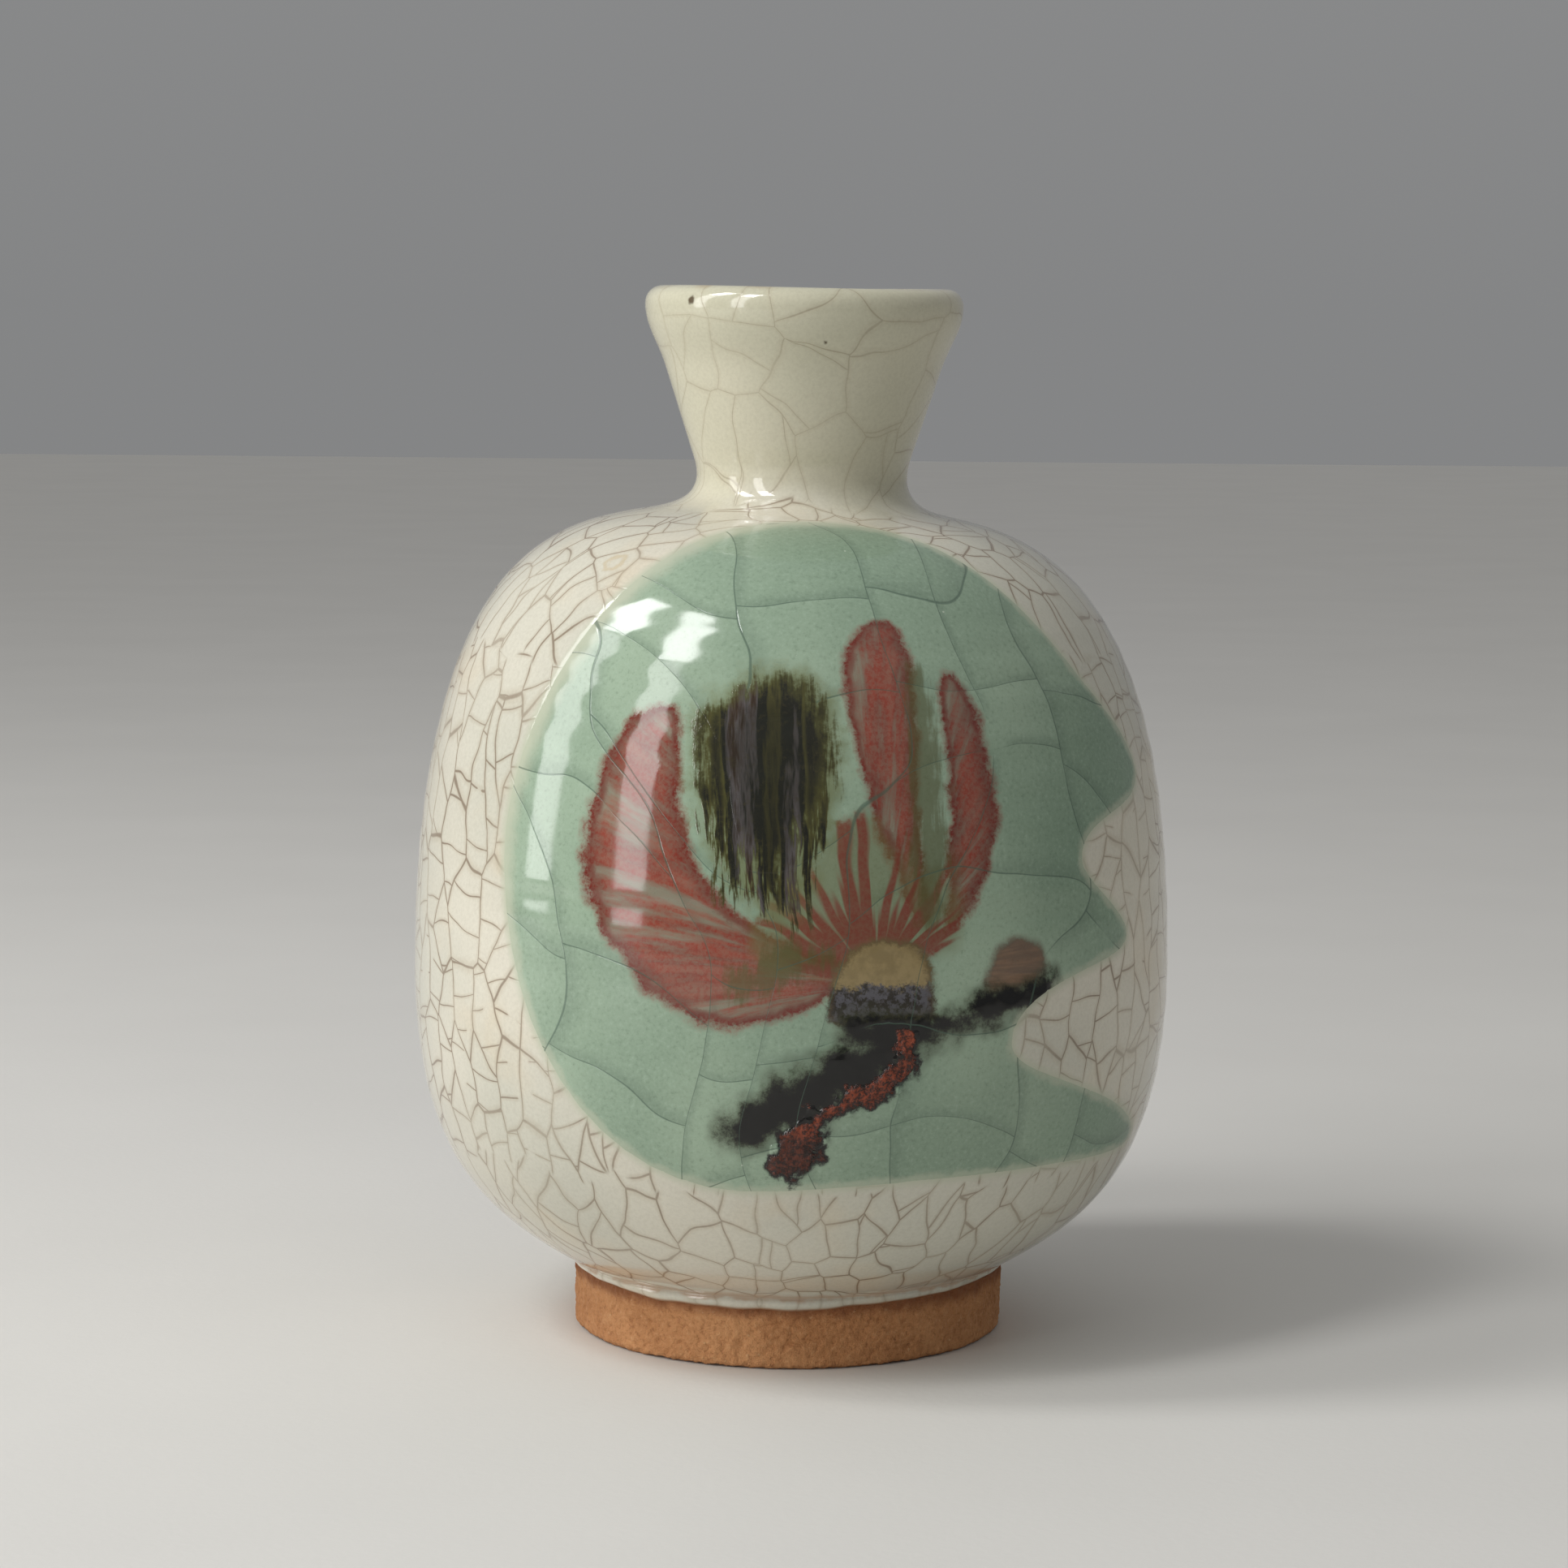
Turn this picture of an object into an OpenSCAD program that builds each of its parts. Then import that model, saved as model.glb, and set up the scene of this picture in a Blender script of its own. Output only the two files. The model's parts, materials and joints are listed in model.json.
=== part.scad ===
// Ceramic bud vase: a stoneware bottle with a swollen belly, a flared neck and a bare
// foot ring. It wears a white crackle glaze, a celadon window and a brushed blossom.
// Millimetres. +Z is up, the painted side faces -Y, and the origin is the middle of
// the foot, on the surface that the vase stands on.

/* [Body] */
// Height of the lip above the table, measured square to the neck
height = 130; // [128:0.5:132]
// Largest radius of the glazed belly
belly_r = 47.3; // [45:0.1:50]
// Height at which the belly is widest
belly_z = 46; // [44:0.5:50]
// Radius at which the shoulder turns into its straight slope
shoulder_r = 22; // [21:0.5:24]
// Height of the shoulder at that radius
shoulder_z = 101.5; // [100:0.5:103]
// Slope of the shoulder, in degrees
shoulder_slope = 12.2; // [10:0.1:15]
// Thickness of the clay wall
wall_t = 4; // [3:0.1:5]

/* [Neck] */
// Outer radius of the waist, the narrowest place
waist_r = 13.1; // [12.5:0.1:14]
// Height of the waist
waist_z = 106.6; // [106.2:0.1:107]
// Flare of the neck from the vertical, in degrees
flare = 18.1; // [16:0.1:19]
// Height at which the straight flare starts to swell into the lip
swell_z = 120; // [118:0.5:121]
// Largest radius of the rolled lip
lip_r = 19.75; // [19.5:0.05:20.5]
// Radius of the roll along the top of the lip
roll_r = 2.1; // [1.8:0.1:2.4]
// Radius of the throat inside its lining
throat_r = 8.5; // [7.5:0.1:9]
// Height at which the throat opens into the mouth
throat_top = 109.5; // [108:0.5:111]
// Sideways offset of the neck from the belly's axis
neck_shift = 0.9; // [0:0.1:1]
// Lean of the neck towards +X, in degrees
neck_lean = 0.35; // [0:0.05:0.5]

/* [Foot] */
// Outer radius of the foot ring
foot_r = 27.1; // [26.8:0.1:27.2]
// Height of the foot ring
foot_h = 8.3; // [8.2:0.1:8.5]
// Width of the foot ring where it meets the base
foot_w = 5.6; // [4.5:0.1:6.5]
// Height of the recessed base inside the ring
recess_z = 6.3; // [5:0.1:7]
// Rounding along the ring's outer rest edge
foot_round = 0.8; // [0.4:0.1:1]

/* [Glaze] */
// Thickness of the outer glaze
glaze_t = 0.7; // [0.5:0.05:0.9]
// Thickness of the lining in the throat and belly
lining_t = 0.5; // [0.3:0.05:0.7]
// Direction that the celadon window faces, in degrees from -Y towards +X
window_turn = 8; // [0:1:12]
// Upward tilt of the window's plane, in degrees
window_tilt = 20; // [16:1:24]
// Height of the window plane's middle
window_z = 62; // [60:1:64]
// Thickness of the brushed pigment
pigment_t = 0.15; // [0.1:0.05:0.25]
// Thickness of the iron slip of the branch
slip_t = 0.35; // [0.25:0.05:0.45]
// Thickness of the rust crest that boiled up beside it
crest_t = 0.7; // [0.5:0.05:0.9]

/* [Hidden] */
$fn = 180;

belly_steps = 16;   // straight bands along each of the belly's two curves
arc_steps = 8;      // straight bands along each small round
outline_steps = 7;  // chords between two knots of a brushed outline

// ---- Points along curves ----

function bezier(p0, p1, p2, p3, steps) =
    [for (i = [0:steps]) let (t = i / steps, s = 1 - t)
        s*s*s*p0 + 3*s*s*t*p1 + 3*s*t*t*p2 + t*t*t*p3];

function polar(angle, length) = length * [cos(angle), sin(angle)];

function arc(centre, r, from, to, steps = arc_steps) =
    [for (i = [0:steps]) centre + polar(from + (to - from) * i / steps, r)];

function without_first(points) = [for (i = [1:len(points) - 1]) points[i]];

function reversed(points) = [for (i = [len(points) - 1:-1:0]) points[i]];

// Unit tangent at a point of an open line, from its neighbours
function tangent(points, i) =
    let (a = points[max(i - 1, 0)], b = points[min(i + 1, len(points) - 1)])
    (b - a) / norm(b - a);

// An upward line moved by t to its right, which is outwards on a profile
function moved_out(points, t) =
    [for (i = [0:len(points) - 1]) let (d = tangent(points, i))
        points[i] + t * [d[1], -d[0]]];

// A closed outline through knots [x, y, heading, handle before, handle after]
function outline(knots) =
    [for (i = [0:len(knots) - 1])
        let (a = knots[i], b = knots[(i + 1) % len(knots)],
             p = [a[0], a[1]], q = [b[0], b[1]],
             curve = bezier(p, p + polar(a[2], a[4]), q - polar(b[2], b[3]), q,
                            outline_steps))
        for (j = [0:outline_steps - 1]) curve[j]];

// ---- Profiles, as [radius, height] from the bottom up ----

// Height of the first glazed point above the foot ring, and its overhang
bead = [0.2, 0.5];
glaze_start = [foot_r, foot_h] + bead;
shoulder_end = [shoulder_r, shoulder_z];
cap_r = 11;
cap = [cap_r, shoulder_z + (shoulder_r - cap_r) * tan(shoulder_slope)];

belly_line = concat(
    bezier(glaze_start, glaze_start + polar(30, 12), [belly_r, belly_z - 25.3],
           [belly_r, belly_z], belly_steps),
    without_first(bezier([belly_r, belly_z], [belly_r, belly_z + 44.6],
                         shoulder_end + polar(-shoulder_slope, 11.3), shoulder_end,
                         belly_steps)),
    [cap]);
clay_line = moved_out(belly_line, -glaze_t);
cavity_line = moved_out(belly_line, -glaze_t - wall_t);
water_line = moved_out(belly_line, -glaze_t - wall_t - lining_t);

// The neck's outer line: fillet, waist, straight flare, swelling and rolled lip
fillet_r = 3.6;
waist_curve_r = 7;
lip_z = height - roll_r;
lip_centre = [lip_r - roll_r, lip_z];
waist_curve = arc([waist_r + waist_curve_r, waist_z], waist_curve_r, 180, 180 - flare);
waist_end = waist_curve[len(waist_curve) - 1];
swell_start = [waist_end[0] + (swell_z - waist_end[1]) * tan(flare), swell_z];
neck_line = concat(
    arc([waist_r + fillet_r, waist_z], fillet_r, 270 - shoulder_slope, 180),
    without_first(waist_curve),
    bezier(swell_start, swell_start + polar(90 - flare, 3.5), [lip_r, lip_z - 3],
           [lip_r, lip_z], arc_steps));
neck_outer = concat(neck_line, without_first(arc(lip_centre, roll_r, 0, 90)));
neck_clay = concat(moved_out(neck_line, -glaze_t),
                   without_first(arc(lip_centre, roll_r - glaze_t, 0, 90)));
// The mouth's inner line, from the top of the lip down to the throat
mouth_clay = concat(without_first(arc(lip_centre, roll_r - glaze_t, 90, 180)),
                    [[throat_r + lining_t, throat_top]]);
mouth_glaze = concat(without_first(arc(lip_centre, roll_r, 90, 180)),
                     [[throat_r, throat_top]]);

// How far the neck's solids run down into the belly before they are cut to it
neck_root_z = 100;
throat_bottom = 97;

// ---- Helpers ----

module turned(points) rotate_extrude() polygon(points);

// A solid of revolution that fills everything under a profile, down to its first point
module filled(line) turned(concat([[0, line[0][1]]], line, [[0, line[len(line) - 1][1]]]));

// A shell between two profiles that run side by side
module shell(inner, outer) turned(concat(outer, reversed(inner)));

module neck_frame()
    translate([neck_shift, 0, waist_z]) rotate([0, neck_lean, 0])
        translate([0, 0, -waist_z]) children();

// Everything that lies in front of an outline drawn on the window's plane
module in_front(points)
    translate([0, 0, window_z]) rotate([0, 0, window_turn]) rotate([90 - window_tilt, 0, 0])
        linear_extrude(belly_r * 1.5) polygon(points);

// A brushed layer of thickness t on the belly, inside an outline
module brushed(points, t)
    intersection() {
        shell(belly_line, moved_out(belly_line, t));
        in_front(points);
    }

module clay_volume() filled(concat([[foot_r - glaze_t, foot_h]], clay_line));

module glaze_volume() filled(concat([[foot_r, foot_h]], belly_line));

module throat(r, bottom, top) neck_frame() translate([0, 0, bottom]) cylinder(r = r, h = top - bottom);

// ---- Outlines on the window's plane, [x, y, heading, handle before, handle after] ----

window_outline = outline([
    [-2, 30.8, 0, 18, 14],
    [30, 11.5, -47, 14, 4],
    [38.6, 1.2, -90, 4, 5],
    [29.5, -11, -90, 5, 3],
    [36.4, -18.5, -90, 3, 4],
    [20, -33, -90, 7, 4.5],
    [39.2, -39.8, -90, 3.6, 4],
    [-8, -49, 180, 24, 18],
    [-38, -9, 90, 24, 20]]);

left_petal = outline([
    [-20, 6, 180, 3, 4],
    [-29.5, -10, -90, 9, 10],
    [-12, -31, 0, 9, 5],
    [1, -26, 60, 3, 2],
    [-9, -22, 150, 4, 4],
    [-18.5, -8, 100, 6, 6]]);

right_petal = outline([
    [4.5, 15, 0, 3, 3],
    [8, 5, -100, 6, 8],
    [5, -19, 200, 3, 3],
    [-0.5, 4, 95, 10, 5]]);

far_petal = outline([
    [12.5, 9, 0, 2, 2],
    [17, -9, -90, 8, 8],
    [8, -24, 180, 4, 2],
    [10, -5, 85, 8, 7]]);

heart_shape = outline([
    [-16, 5, 30, 2, 4],
    [-7, 8.5, 0, 4, 3],
    [-1, 0, -85, 5, 5],
    [-8, -19, 180, 3, 2],
    [-16.5, -6, 95, 7, 5]]);

calyx_shape = outline([
    [4, -22.5, 0, 4, 4],
    [10, -27, -90, 2, 2],
    [4, -31, 180, 4, 4],
    [-1.5, -26, 90, 2, 2]]);

branch_shape = outline([
    [-14, -41.5, 60, 1, 2],
    [2, -33, 20, 6, 7],
    [24.5, -26.2, 0, 5, 0.5],
    [24.5, -27.8, 190, 0.5, 5],
    [8, -34, 210, 5, 5],
    [-3, -41.5, 200, 5, 4],
    [-12, -44, 160, 2, 1]]);

crest_shape = outline([
    [-7, -42.5, 45, 3, 3],
    [0, -38.6, 15, 3, 2],
    [6, -32.5, 80, 3, 1],
    [8.6, -32.5, -95, 1, 3],
    [6.5, -38, 215, 2, 3],
    [-1, -41.5, 210, 3, 2],
    [-3.5, -46.5, 230, 2, 1.5],
    [-8, -48, 160, 1.5, 1.5]]);

// ---- Parts ----

// The bare clay ring that the vase stands on, turned from the same stoneware
module foot_ring() color([0.70, 0.45, 0.26])
    turned(concat(
        arc([foot_r - foot_round - 0.2, foot_round], foot_round, -90, 0),
        [[foot_r, foot_h],
         [foot_r - foot_w, foot_h],
         [foot_r - foot_w, recess_z],
         [foot_r - foot_w + 1.5, 0.5],
         [foot_r - foot_w + 2, 0]]));

// The thrown belly wall with its base, which drops a little way into the ring
module belly() color([0.66, 0.48, 0.33])
    difference() {
        union() {
            clay_volume();
            translate([0, 0, recess_z]) cylinder(r = foot_r - foot_w, h = foot_h - recess_z + 1);
        }
        filled(cavity_line);
        throat(throat_r + lining_t, throat_bottom, waist_z);
    }

// The neck, thrown apart from the belly and set on its shoulder a little off the axis
module neck() color([0.68, 0.52, 0.38])
    difference() {
        neck_frame() turned(concat(
            [[neck_clay[0][0], neck_root_z]], neck_clay, mouth_clay,
            [[throat_r + lining_t, neck_root_z]]));
        clay_volume();
    }

// White crackle glaze over the belly, left open for the window and under the neck
module belly_glaze() color([0.87, 0.84, 0.77])
    difference() {
        shell(concat([[foot_r - glaze_t, foot_h]], clay_line),
              concat([[foot_r, foot_h]], belly_line));
        in_front(window_outline);
        throat(neck_clay[0][0], throat_bottom, waist_z);
    }

// The same glaze up the neck to the top of the lip
module neck_glaze() color([0.87, 0.84, 0.74])
    difference() {
        neck_frame() shell(concat([[neck_clay[0][0], neck_root_z]], neck_clay),
                           concat([[neck_outer[0][0], neck_root_z]], neck_outer));
        glaze_volume();
    }

// The lining: the belly's floor and wall, the throat and the mouth up to the lip
module inner_glaze() color([0.82, 0.80, 0.72]) {
    neck_frame() turned(concat(
        [[throat_r, throat_top], [throat_r + lining_t, throat_top]],
        reversed(mouth_clay), [[lip_centre[0], height - glaze_t], [lip_centre[0], height]],
        mouth_glaze));
    difference() {
        union() {
            filled(cavity_line);
            throat(throat_r + lining_t, throat_bottom, throat_top);
        }
        filled(water_line);
        throat(throat_r, throat_bottom - 1, throat_top + 1);
    }
}

// Celadon glaze that fills the window
module celadon_window() color([0.51, 0.64, 0.55])
    intersection() {
        shell(clay_line, belly_line);
        in_front(window_outline);
    }

// Copper red petals
module blossom_petals() color([0.62, 0.24, 0.21])
    difference() {
        union() {
            brushed(left_petal, pigment_t);
            brushed(right_petal, pigment_t);
            brushed(far_petal, pigment_t);
        }
        in_front(heart_shape);
        in_front(calyx_shape);
    }

// Iron heart of the blossom
module blossom_heart() color([0.17, 0.15, 0.08])
    brushed(heart_shape, pigment_t);

// Ochre slip under the blossom
module calyx() color([0.60, 0.54, 0.38])
    difference() {
        brushed(calyx_shape, pigment_t);
        in_front(branch_shape);
    }

// Raised iron slip of the branch
module branch() color([0.09, 0.08, 0.06])
    difference() {
        brushed(branch_shape, slip_t);
        in_front(crest_shape);
    }

// Rough rust crest beside the branch
module branch_rust() color([0.45, 0.20, 0.10])
    brushed(crest_shape, crest_t);

foot_ring();
belly();
neck();
belly_glaze();
neck_glaze();
inner_glaze();
celadon_window();
blossom_petals();
blossom_heart();
calyx();
branch();
branch_rust();
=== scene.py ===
"""The looks of the ceramic bud vase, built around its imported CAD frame.

Lengths in this script are millimetres. Meshes are scaled to metres as they are made (see MM).
Azimuths are degrees around the vase from its painted front (-Y) towards +X.
"""
import json
import math

import bpy
import numpy as np
from mathutils import Matrix, Vector


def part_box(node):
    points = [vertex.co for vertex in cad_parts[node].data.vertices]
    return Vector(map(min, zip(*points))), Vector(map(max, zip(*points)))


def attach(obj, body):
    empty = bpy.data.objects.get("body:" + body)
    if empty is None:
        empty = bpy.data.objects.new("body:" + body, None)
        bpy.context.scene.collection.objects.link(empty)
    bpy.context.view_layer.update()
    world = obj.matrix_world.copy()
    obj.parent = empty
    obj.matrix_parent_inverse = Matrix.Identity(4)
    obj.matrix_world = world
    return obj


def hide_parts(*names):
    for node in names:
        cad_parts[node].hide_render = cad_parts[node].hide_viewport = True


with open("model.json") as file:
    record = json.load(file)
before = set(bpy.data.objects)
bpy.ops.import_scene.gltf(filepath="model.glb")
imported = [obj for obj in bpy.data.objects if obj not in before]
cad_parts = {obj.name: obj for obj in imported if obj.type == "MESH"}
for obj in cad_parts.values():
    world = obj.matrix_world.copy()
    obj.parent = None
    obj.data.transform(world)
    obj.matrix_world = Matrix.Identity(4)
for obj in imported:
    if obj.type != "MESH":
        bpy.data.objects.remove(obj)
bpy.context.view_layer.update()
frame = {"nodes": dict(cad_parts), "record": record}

MM = 0.001
rng = np.random.default_rng(11)

# ---- numbers and curves


def smooth(x, low, high):
    """0 below low, 1 above high, and an S-curve between them."""
    t = np.clip((np.asarray(x, float) - low) / (high - low), 0, 1)
    return t * t * (3 - 2 * t)


def waves(points, length, seed, count=28):
    """A smooth random field of about -1 to 1 whose bumps are about length mm apart."""
    r = np.random.default_rng(seed)
    ways = r.normal(size=(count, 3))
    ways *= math.tau / length * r.uniform(0.6, 1.4, (count, 1)) / np.linalg.norm(ways, axis=1)[:, None]
    phases = r.uniform(0, math.tau, count)
    total = np.zeros(points.shape[:-1])
    for way, phase in zip(ways, phases):
        total += np.sin(points @ way + phase)
    return total / math.sqrt(count)


def spline(points, spacing):
    """Points about spacing mm apart on a natural cubic spline, with their run along it."""
    points = np.asarray(points, float)
    run = np.concatenate([[0], np.cumsum(np.linalg.norm(np.diff(points, axis=0), axis=1))])
    n, h = len(points), np.diff(run)
    matrix, right = np.eye(n), np.zeros_like(points)
    for i in range(1, n - 1):
        matrix[i, i - 1:i + 2] = h[i - 1], 2 * (h[i - 1] + h[i]), h[i]
        right[i] = 6 * ((points[i + 1] - points[i]) / h[i] - (points[i] - points[i - 1]) / h[i - 1])
    bend = np.linalg.solve(matrix, right)
    t = np.linspace(0, run[-1], int(run[-1] / spacing) + 2)
    i = np.clip(np.searchsorted(run, t, side="right") - 1, 0, n - 2)
    a, b, w = (run[i + 1] - t)[:, None], (t - run[i])[:, None], h[i][:, None]
    out = (bend[i] * a**3 + bend[i + 1] * b**3) / (6 * w)
    out += (points[i] / w - bend[i] * w / 6) * a + (points[i + 1] / w - bend[i + 1] * w / 6) * b
    return t, out


def subdivided(points, longest):
    """The same line with extra points, so that no piece of it is longer than longest."""
    out = [points[0]]
    for p, q in zip(points[:-1], points[1:]):
        parts = max(1, math.ceil(np.linalg.norm(np.subtract(q, p)) / longest))
        out += [np.add(p, np.subtract(q, p) * k / parts) for k in range(1, parts + 1)]
    return np.array(out)


def heading(angle, length):
    """A flat step of a length in a direction, in degrees from +x."""
    return length * np.array([math.cos(math.radians(angle)), math.sin(math.radians(angle))])


def outline(knots, steps=14):
    """A closed line through knots (x, y, heading, handle before, handle after)."""
    line = []
    for a, b in zip(knots, knots[1:] + knots[:1]):
        p0, p3 = np.array(a[:2]), np.array(b[:2])
        p1, p2 = p0 + heading(a[2], a[4]), p3 - heading(b[2], b[3])
        for t in np.arange(steps) / steps:
            s = 1 - t
            line.append(s**3 * p0 + 3 * s * s * t * p1 + 3 * s * t * t * p2 + t**3 * p3)
    return np.array(line)


def depth_inside(points, loop):
    """Distance from each point to a closed line, positive inside it."""
    ends = np.roll(loop, -1, axis=0)
    out = np.empty(len(points))
    for start in range(0, len(points), 4000):
        p = points[start:start + 4000, None]
        along = ends - loop
        t = np.clip(((p - loop) * along).sum(2) / (along**2).sum(1), 0, 1)
        near = np.linalg.norm(p - loop - t[..., None] * along, axis=2).min(1)
        above = (loop[:, 1] > p[..., 1]) != (ends[:, 1] > p[..., 1])
        with np.errstate(divide="ignore", invalid="ignore"):
            x = loop[:, 0] + (p[..., 1] - loop[:, 1]) * along[:, 0] / along[:, 1]
        inside = (above & (p[..., 0] < x)).sum(1) % 2 == 1
        out[start:start + 4000] = np.where(inside, near, -near)
    return out


# ---- the pot's own surface

throat = next(m for m in frame["record"]["mounts"] if m["name"] == "neck_throat")
NECK_POINT = np.array(throat["pos_m"]) / MM
NECK_AXIS = np.array(throat["axis"])
FOOT_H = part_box("foot_ring")[1].z / MM
FOOT_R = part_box("foot_ring")[1].x / MM


def rings(node, origin, axis, facing):
    """[radius, height] of a turned node's rings that face out (1) or in (-1), bottom first."""
    mesh = frame["nodes"][node].data
    mesh.calc_loop_triangles()
    co = np.array([v.co for v in mesh.vertices]) / MM - origin
    tri = np.array([t.vertices for t in mesh.loop_triangles])
    height = co @ axis
    radial = co - height[:, None] * axis
    radius = np.linalg.norm(radial, axis=1)
    normal = np.cross(co[tri[:, 1]] - co[tri[:, 0]], co[tri[:, 2]] - co[tri[:, 0]])
    area = np.linalg.norm(normal, axis=1)
    tilt = (normal * radial[tri].mean(1)).sum(1) / np.maximum(area * radius[tri].mean(1), 1e-9)
    chosen = np.unique(tri[(facing * tilt > 0.03) & (area > 1e-6)])
    places = np.stack([radius[chosen], height[chosen] + origin[2]], 1)
    # A ring is a radius and height, to 0.04 mm, that at least 16 vertices share
    _, index, counts = np.unique(np.round(places / 0.04), axis=0, return_index=True, return_counts=True)
    found = places[index[counts >= 16]]
    found = found[np.argsort(found[:, 1])]
    far_apart = np.linalg.norm(np.diff(found, axis=0, prepend=found[:1] - 1), axis=1) > 0.1
    return found[far_apart]


UPRIGHT = (np.zeros(3), np.array([0.0, 0.0, 1.0]))
ALONG_NECK = (NECK_POINT, NECK_AXIS)
belly_rings = rings("belly_glaze", *UPRIGHT, 1)
neck_rings = rings("neck_glaze", *ALONG_NECK, 1)
mouth_rings = rings("inner_glaze", *ALONG_NECK, -1)
cavity_rings = rings("inner_glaze", *UPRIGHT, -1)

CREASE = np.array([FOOT_R + 0.45, FOOT_H + 0.65])   # where the belly meets the rolled bead
LIP_TOP = neck_rings[-1]
NECK_FOOT_R = neck_rings[0, 0]                       # where the neck's flared foot meets the shoulder
belly_rings = belly_rings[(belly_rings[:, 1] > CREASE[1] + 0.5) & (belly_rings[:, 0] > NECK_FOOT_R + 3)]
neck_rings = neck_rings[neck_rings[:, 1] > neck_rings[0, 1] + 0.7]
# The cavity's ceiling comes from the lining, and its side from the belly's, less the wall
cavity_top = cavity_rings[(cavity_rings[:, 1] > 96) & (cavity_rings[:, 1] < 99)]
floor_z = cavity_rings[0, 1]
LINING_DEPTH = 1.0   # from the lining's clay side to its face, measured across the belly
wall = (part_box("belly_glaze")[1].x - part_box("inner_glaze")[1].x) / MM + LINING_DEPTH
side = belly_rings[(belly_rings[:, 1] > floor_z + 4) & (belly_rings[:, 1] < 90)]
cavity_rings = np.vstack([side - [wall, 0], cavity_top])
in_roll = (mouth_rings[:, 1] > 0.9 * LIP_TOP[1]) & (mouth_rings[:, 1] < LIP_TOP[1] - 0.01)
roll_rings = mouth_rings[in_roll]
throat_top = mouth_rings[mouth_rings[:, 0] < mouth_rings[:, 0].min() + 0.1][-1]
throat_low = np.array([throat_top[0], cavity_rings[-1, 1] + 3.6])

down_mouth = subdivided([roll_rings[0], throat_top, throat_low], 3)
down_mouth = down_mouth[np.linalg.norm(down_mouth - throat_top, axis=1) > 0.5][1:]
profile = np.vstack([
    [CREASE], belly_rings, neck_rings, roll_rings[::-1], down_mouth,
    [throat_low + [0.5, -1.2]], cavity_rings[::-1],
    [[20, floor_z - 0.3], [10, floor_z - 0.4], [0, floor_z - 0.4]]])
RUN, LINE = spline(profile, 0.05)
SLOPE = np.gradient(LINE, axis=0)
SLOPE /= np.linalg.norm(SLOPE, axis=1)[:, None]
OUT = np.stack([SLOPE[:, 1], -SLOPE[:, 0]], 1)      # points out of the clay

top_index = int(np.argmax(LINE[:, 1]))
RUN_TOP = RUN[top_index]


def run_at_radius(radius, start, end):
    """The run along the profile, between two runs, at which it is nearest to a radius."""
    part = (RUN >= start) & (RUN <= end)
    return RUN[part][np.argmin(abs(LINE[part, 0] - radius))]


shoulder = belly_rings[-1]
RUN_SHOULDER = RUN[np.argmin(np.linalg.norm(LINE - shoulder, axis=1))]
RUN_FILLET = run_at_radius(NECK_FOOT_R - 1, RUN_SHOULDER, RUN_SHOULDER + 12)
RUN_SPLIT = RUN_SHOULDER + 0.45 * (RUN_FILLET - RUN_SHOULDER)
RUN_MOUTH = RUN_TOP + 6
RUN_THROAT = RUN[np.argmin(np.linalg.norm(LINE - throat_low, axis=1))]
RUN_CAVITY = RUN[np.argmin(np.linalg.norm(LINE - cavity_rings[-1], axis=1))]

BEAD_RUN = 2.0   # length of the bead, a roll of glaze that sagged over the foot ring at the front


def bead_size(azimuth):
    """How thick the bead is at an azimuth, 0 to 1.2, with most of it at the front."""
    front = np.exp(-(((azimuth + 194) % 360 - 180) / 46.0) ** 2)
    turn = np.radians(azimuth)
    uneven = 0.10 * np.sin(9 * turn + 1) + 0.07 * np.sin(17 * turn) + 0.05 * np.sin(31 * turn + 2)
    return np.clip(0.12 + front + uneven * (0.3 + front), 0.02, 1.2)


def section(azimuth, run, lift):
    """Radius and height of the surface, moved out by lift. Runs below 0 are on the bead."""
    r, z = np.interp(run, RUN, LINE[:, 0]), np.interp(run, RUN, LINE[:, 1])
    r = r + lift * np.interp(run, RUN, OUT[:, 0])
    z = z + lift * np.interp(run, RUN, OUT[:, 1])
    size = bead_size(azimuth)
    q = np.clip(1 + run / BEAD_RUN, 0, 1)
    low = FOOT_H - 0.02 - 0.85 * size
    bead_r = FOOT_R - 0.03 + q * (CREASE[0] - FOOT_R + 0.03) + (0.1 + 0.42 * size) * np.sin(np.pi * q) ** 0.8
    bead_z = low + q * (CREASE[1] - low)
    on_bead = run < 0
    r = np.where(on_bead, bead_r + lift * (0.6 + 0.4 * q), r)
    z = np.where(on_bead, bead_z + 0.4 * lift * (1 - q), z)
    return r, z


def by_hand(p):
    """Small unevennesses of a hand-made pot. Its sides only ever move inwards; its shoulder leans."""
    x, y, z = p[..., 0], p[..., 1], p[..., 2]
    turn = np.arctan2(x, -y)
    around = np.stack([30 * np.sin(turn), 30 * np.cos(turn), z], -1)
    inward = 0.07 * (1 + np.sin(3 * turn + 1.1)) + 0.05 * (1 + waves(around, 34, 5) / 2)
    inward += 0.018 * (1 + np.sin(math.tau * z / 4.4 + 1.5 * np.sin(turn))) * smooth(z, 12, 20)
    r = np.maximum(np.hypot(x, y), 1e-6)
    scale = 1 - inward / 47 * smooth(r, 0, 12)
    lean_of_shoulder = -0.021 * x * (smooth(z, 72, 100) - smooth(z, 103, 110))
    rim = -0.10 * (1 + np.sin(2 * turn + 0.4)) * smooth(z, 118, 130)
    return np.stack([x * scale, y * scale, z + lean_of_shoulder + rim], -1)


def neck_share(run):
    """How far the surface follows the neck's own axis, from 0 on the belly to 1 on the neck."""
    return smooth(run, RUN_SHOULDER - 4, RUN_FILLET + 2) - smooth(run, RUN_THROAT - 2, RUN_CAVITY + 1)


SIDE = np.cross([0, 1, 0], NECK_AXIS)
SIDE /= np.linalg.norm(SIDE)
BACK = np.cross(NECK_AXIS, SIDE)


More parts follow.
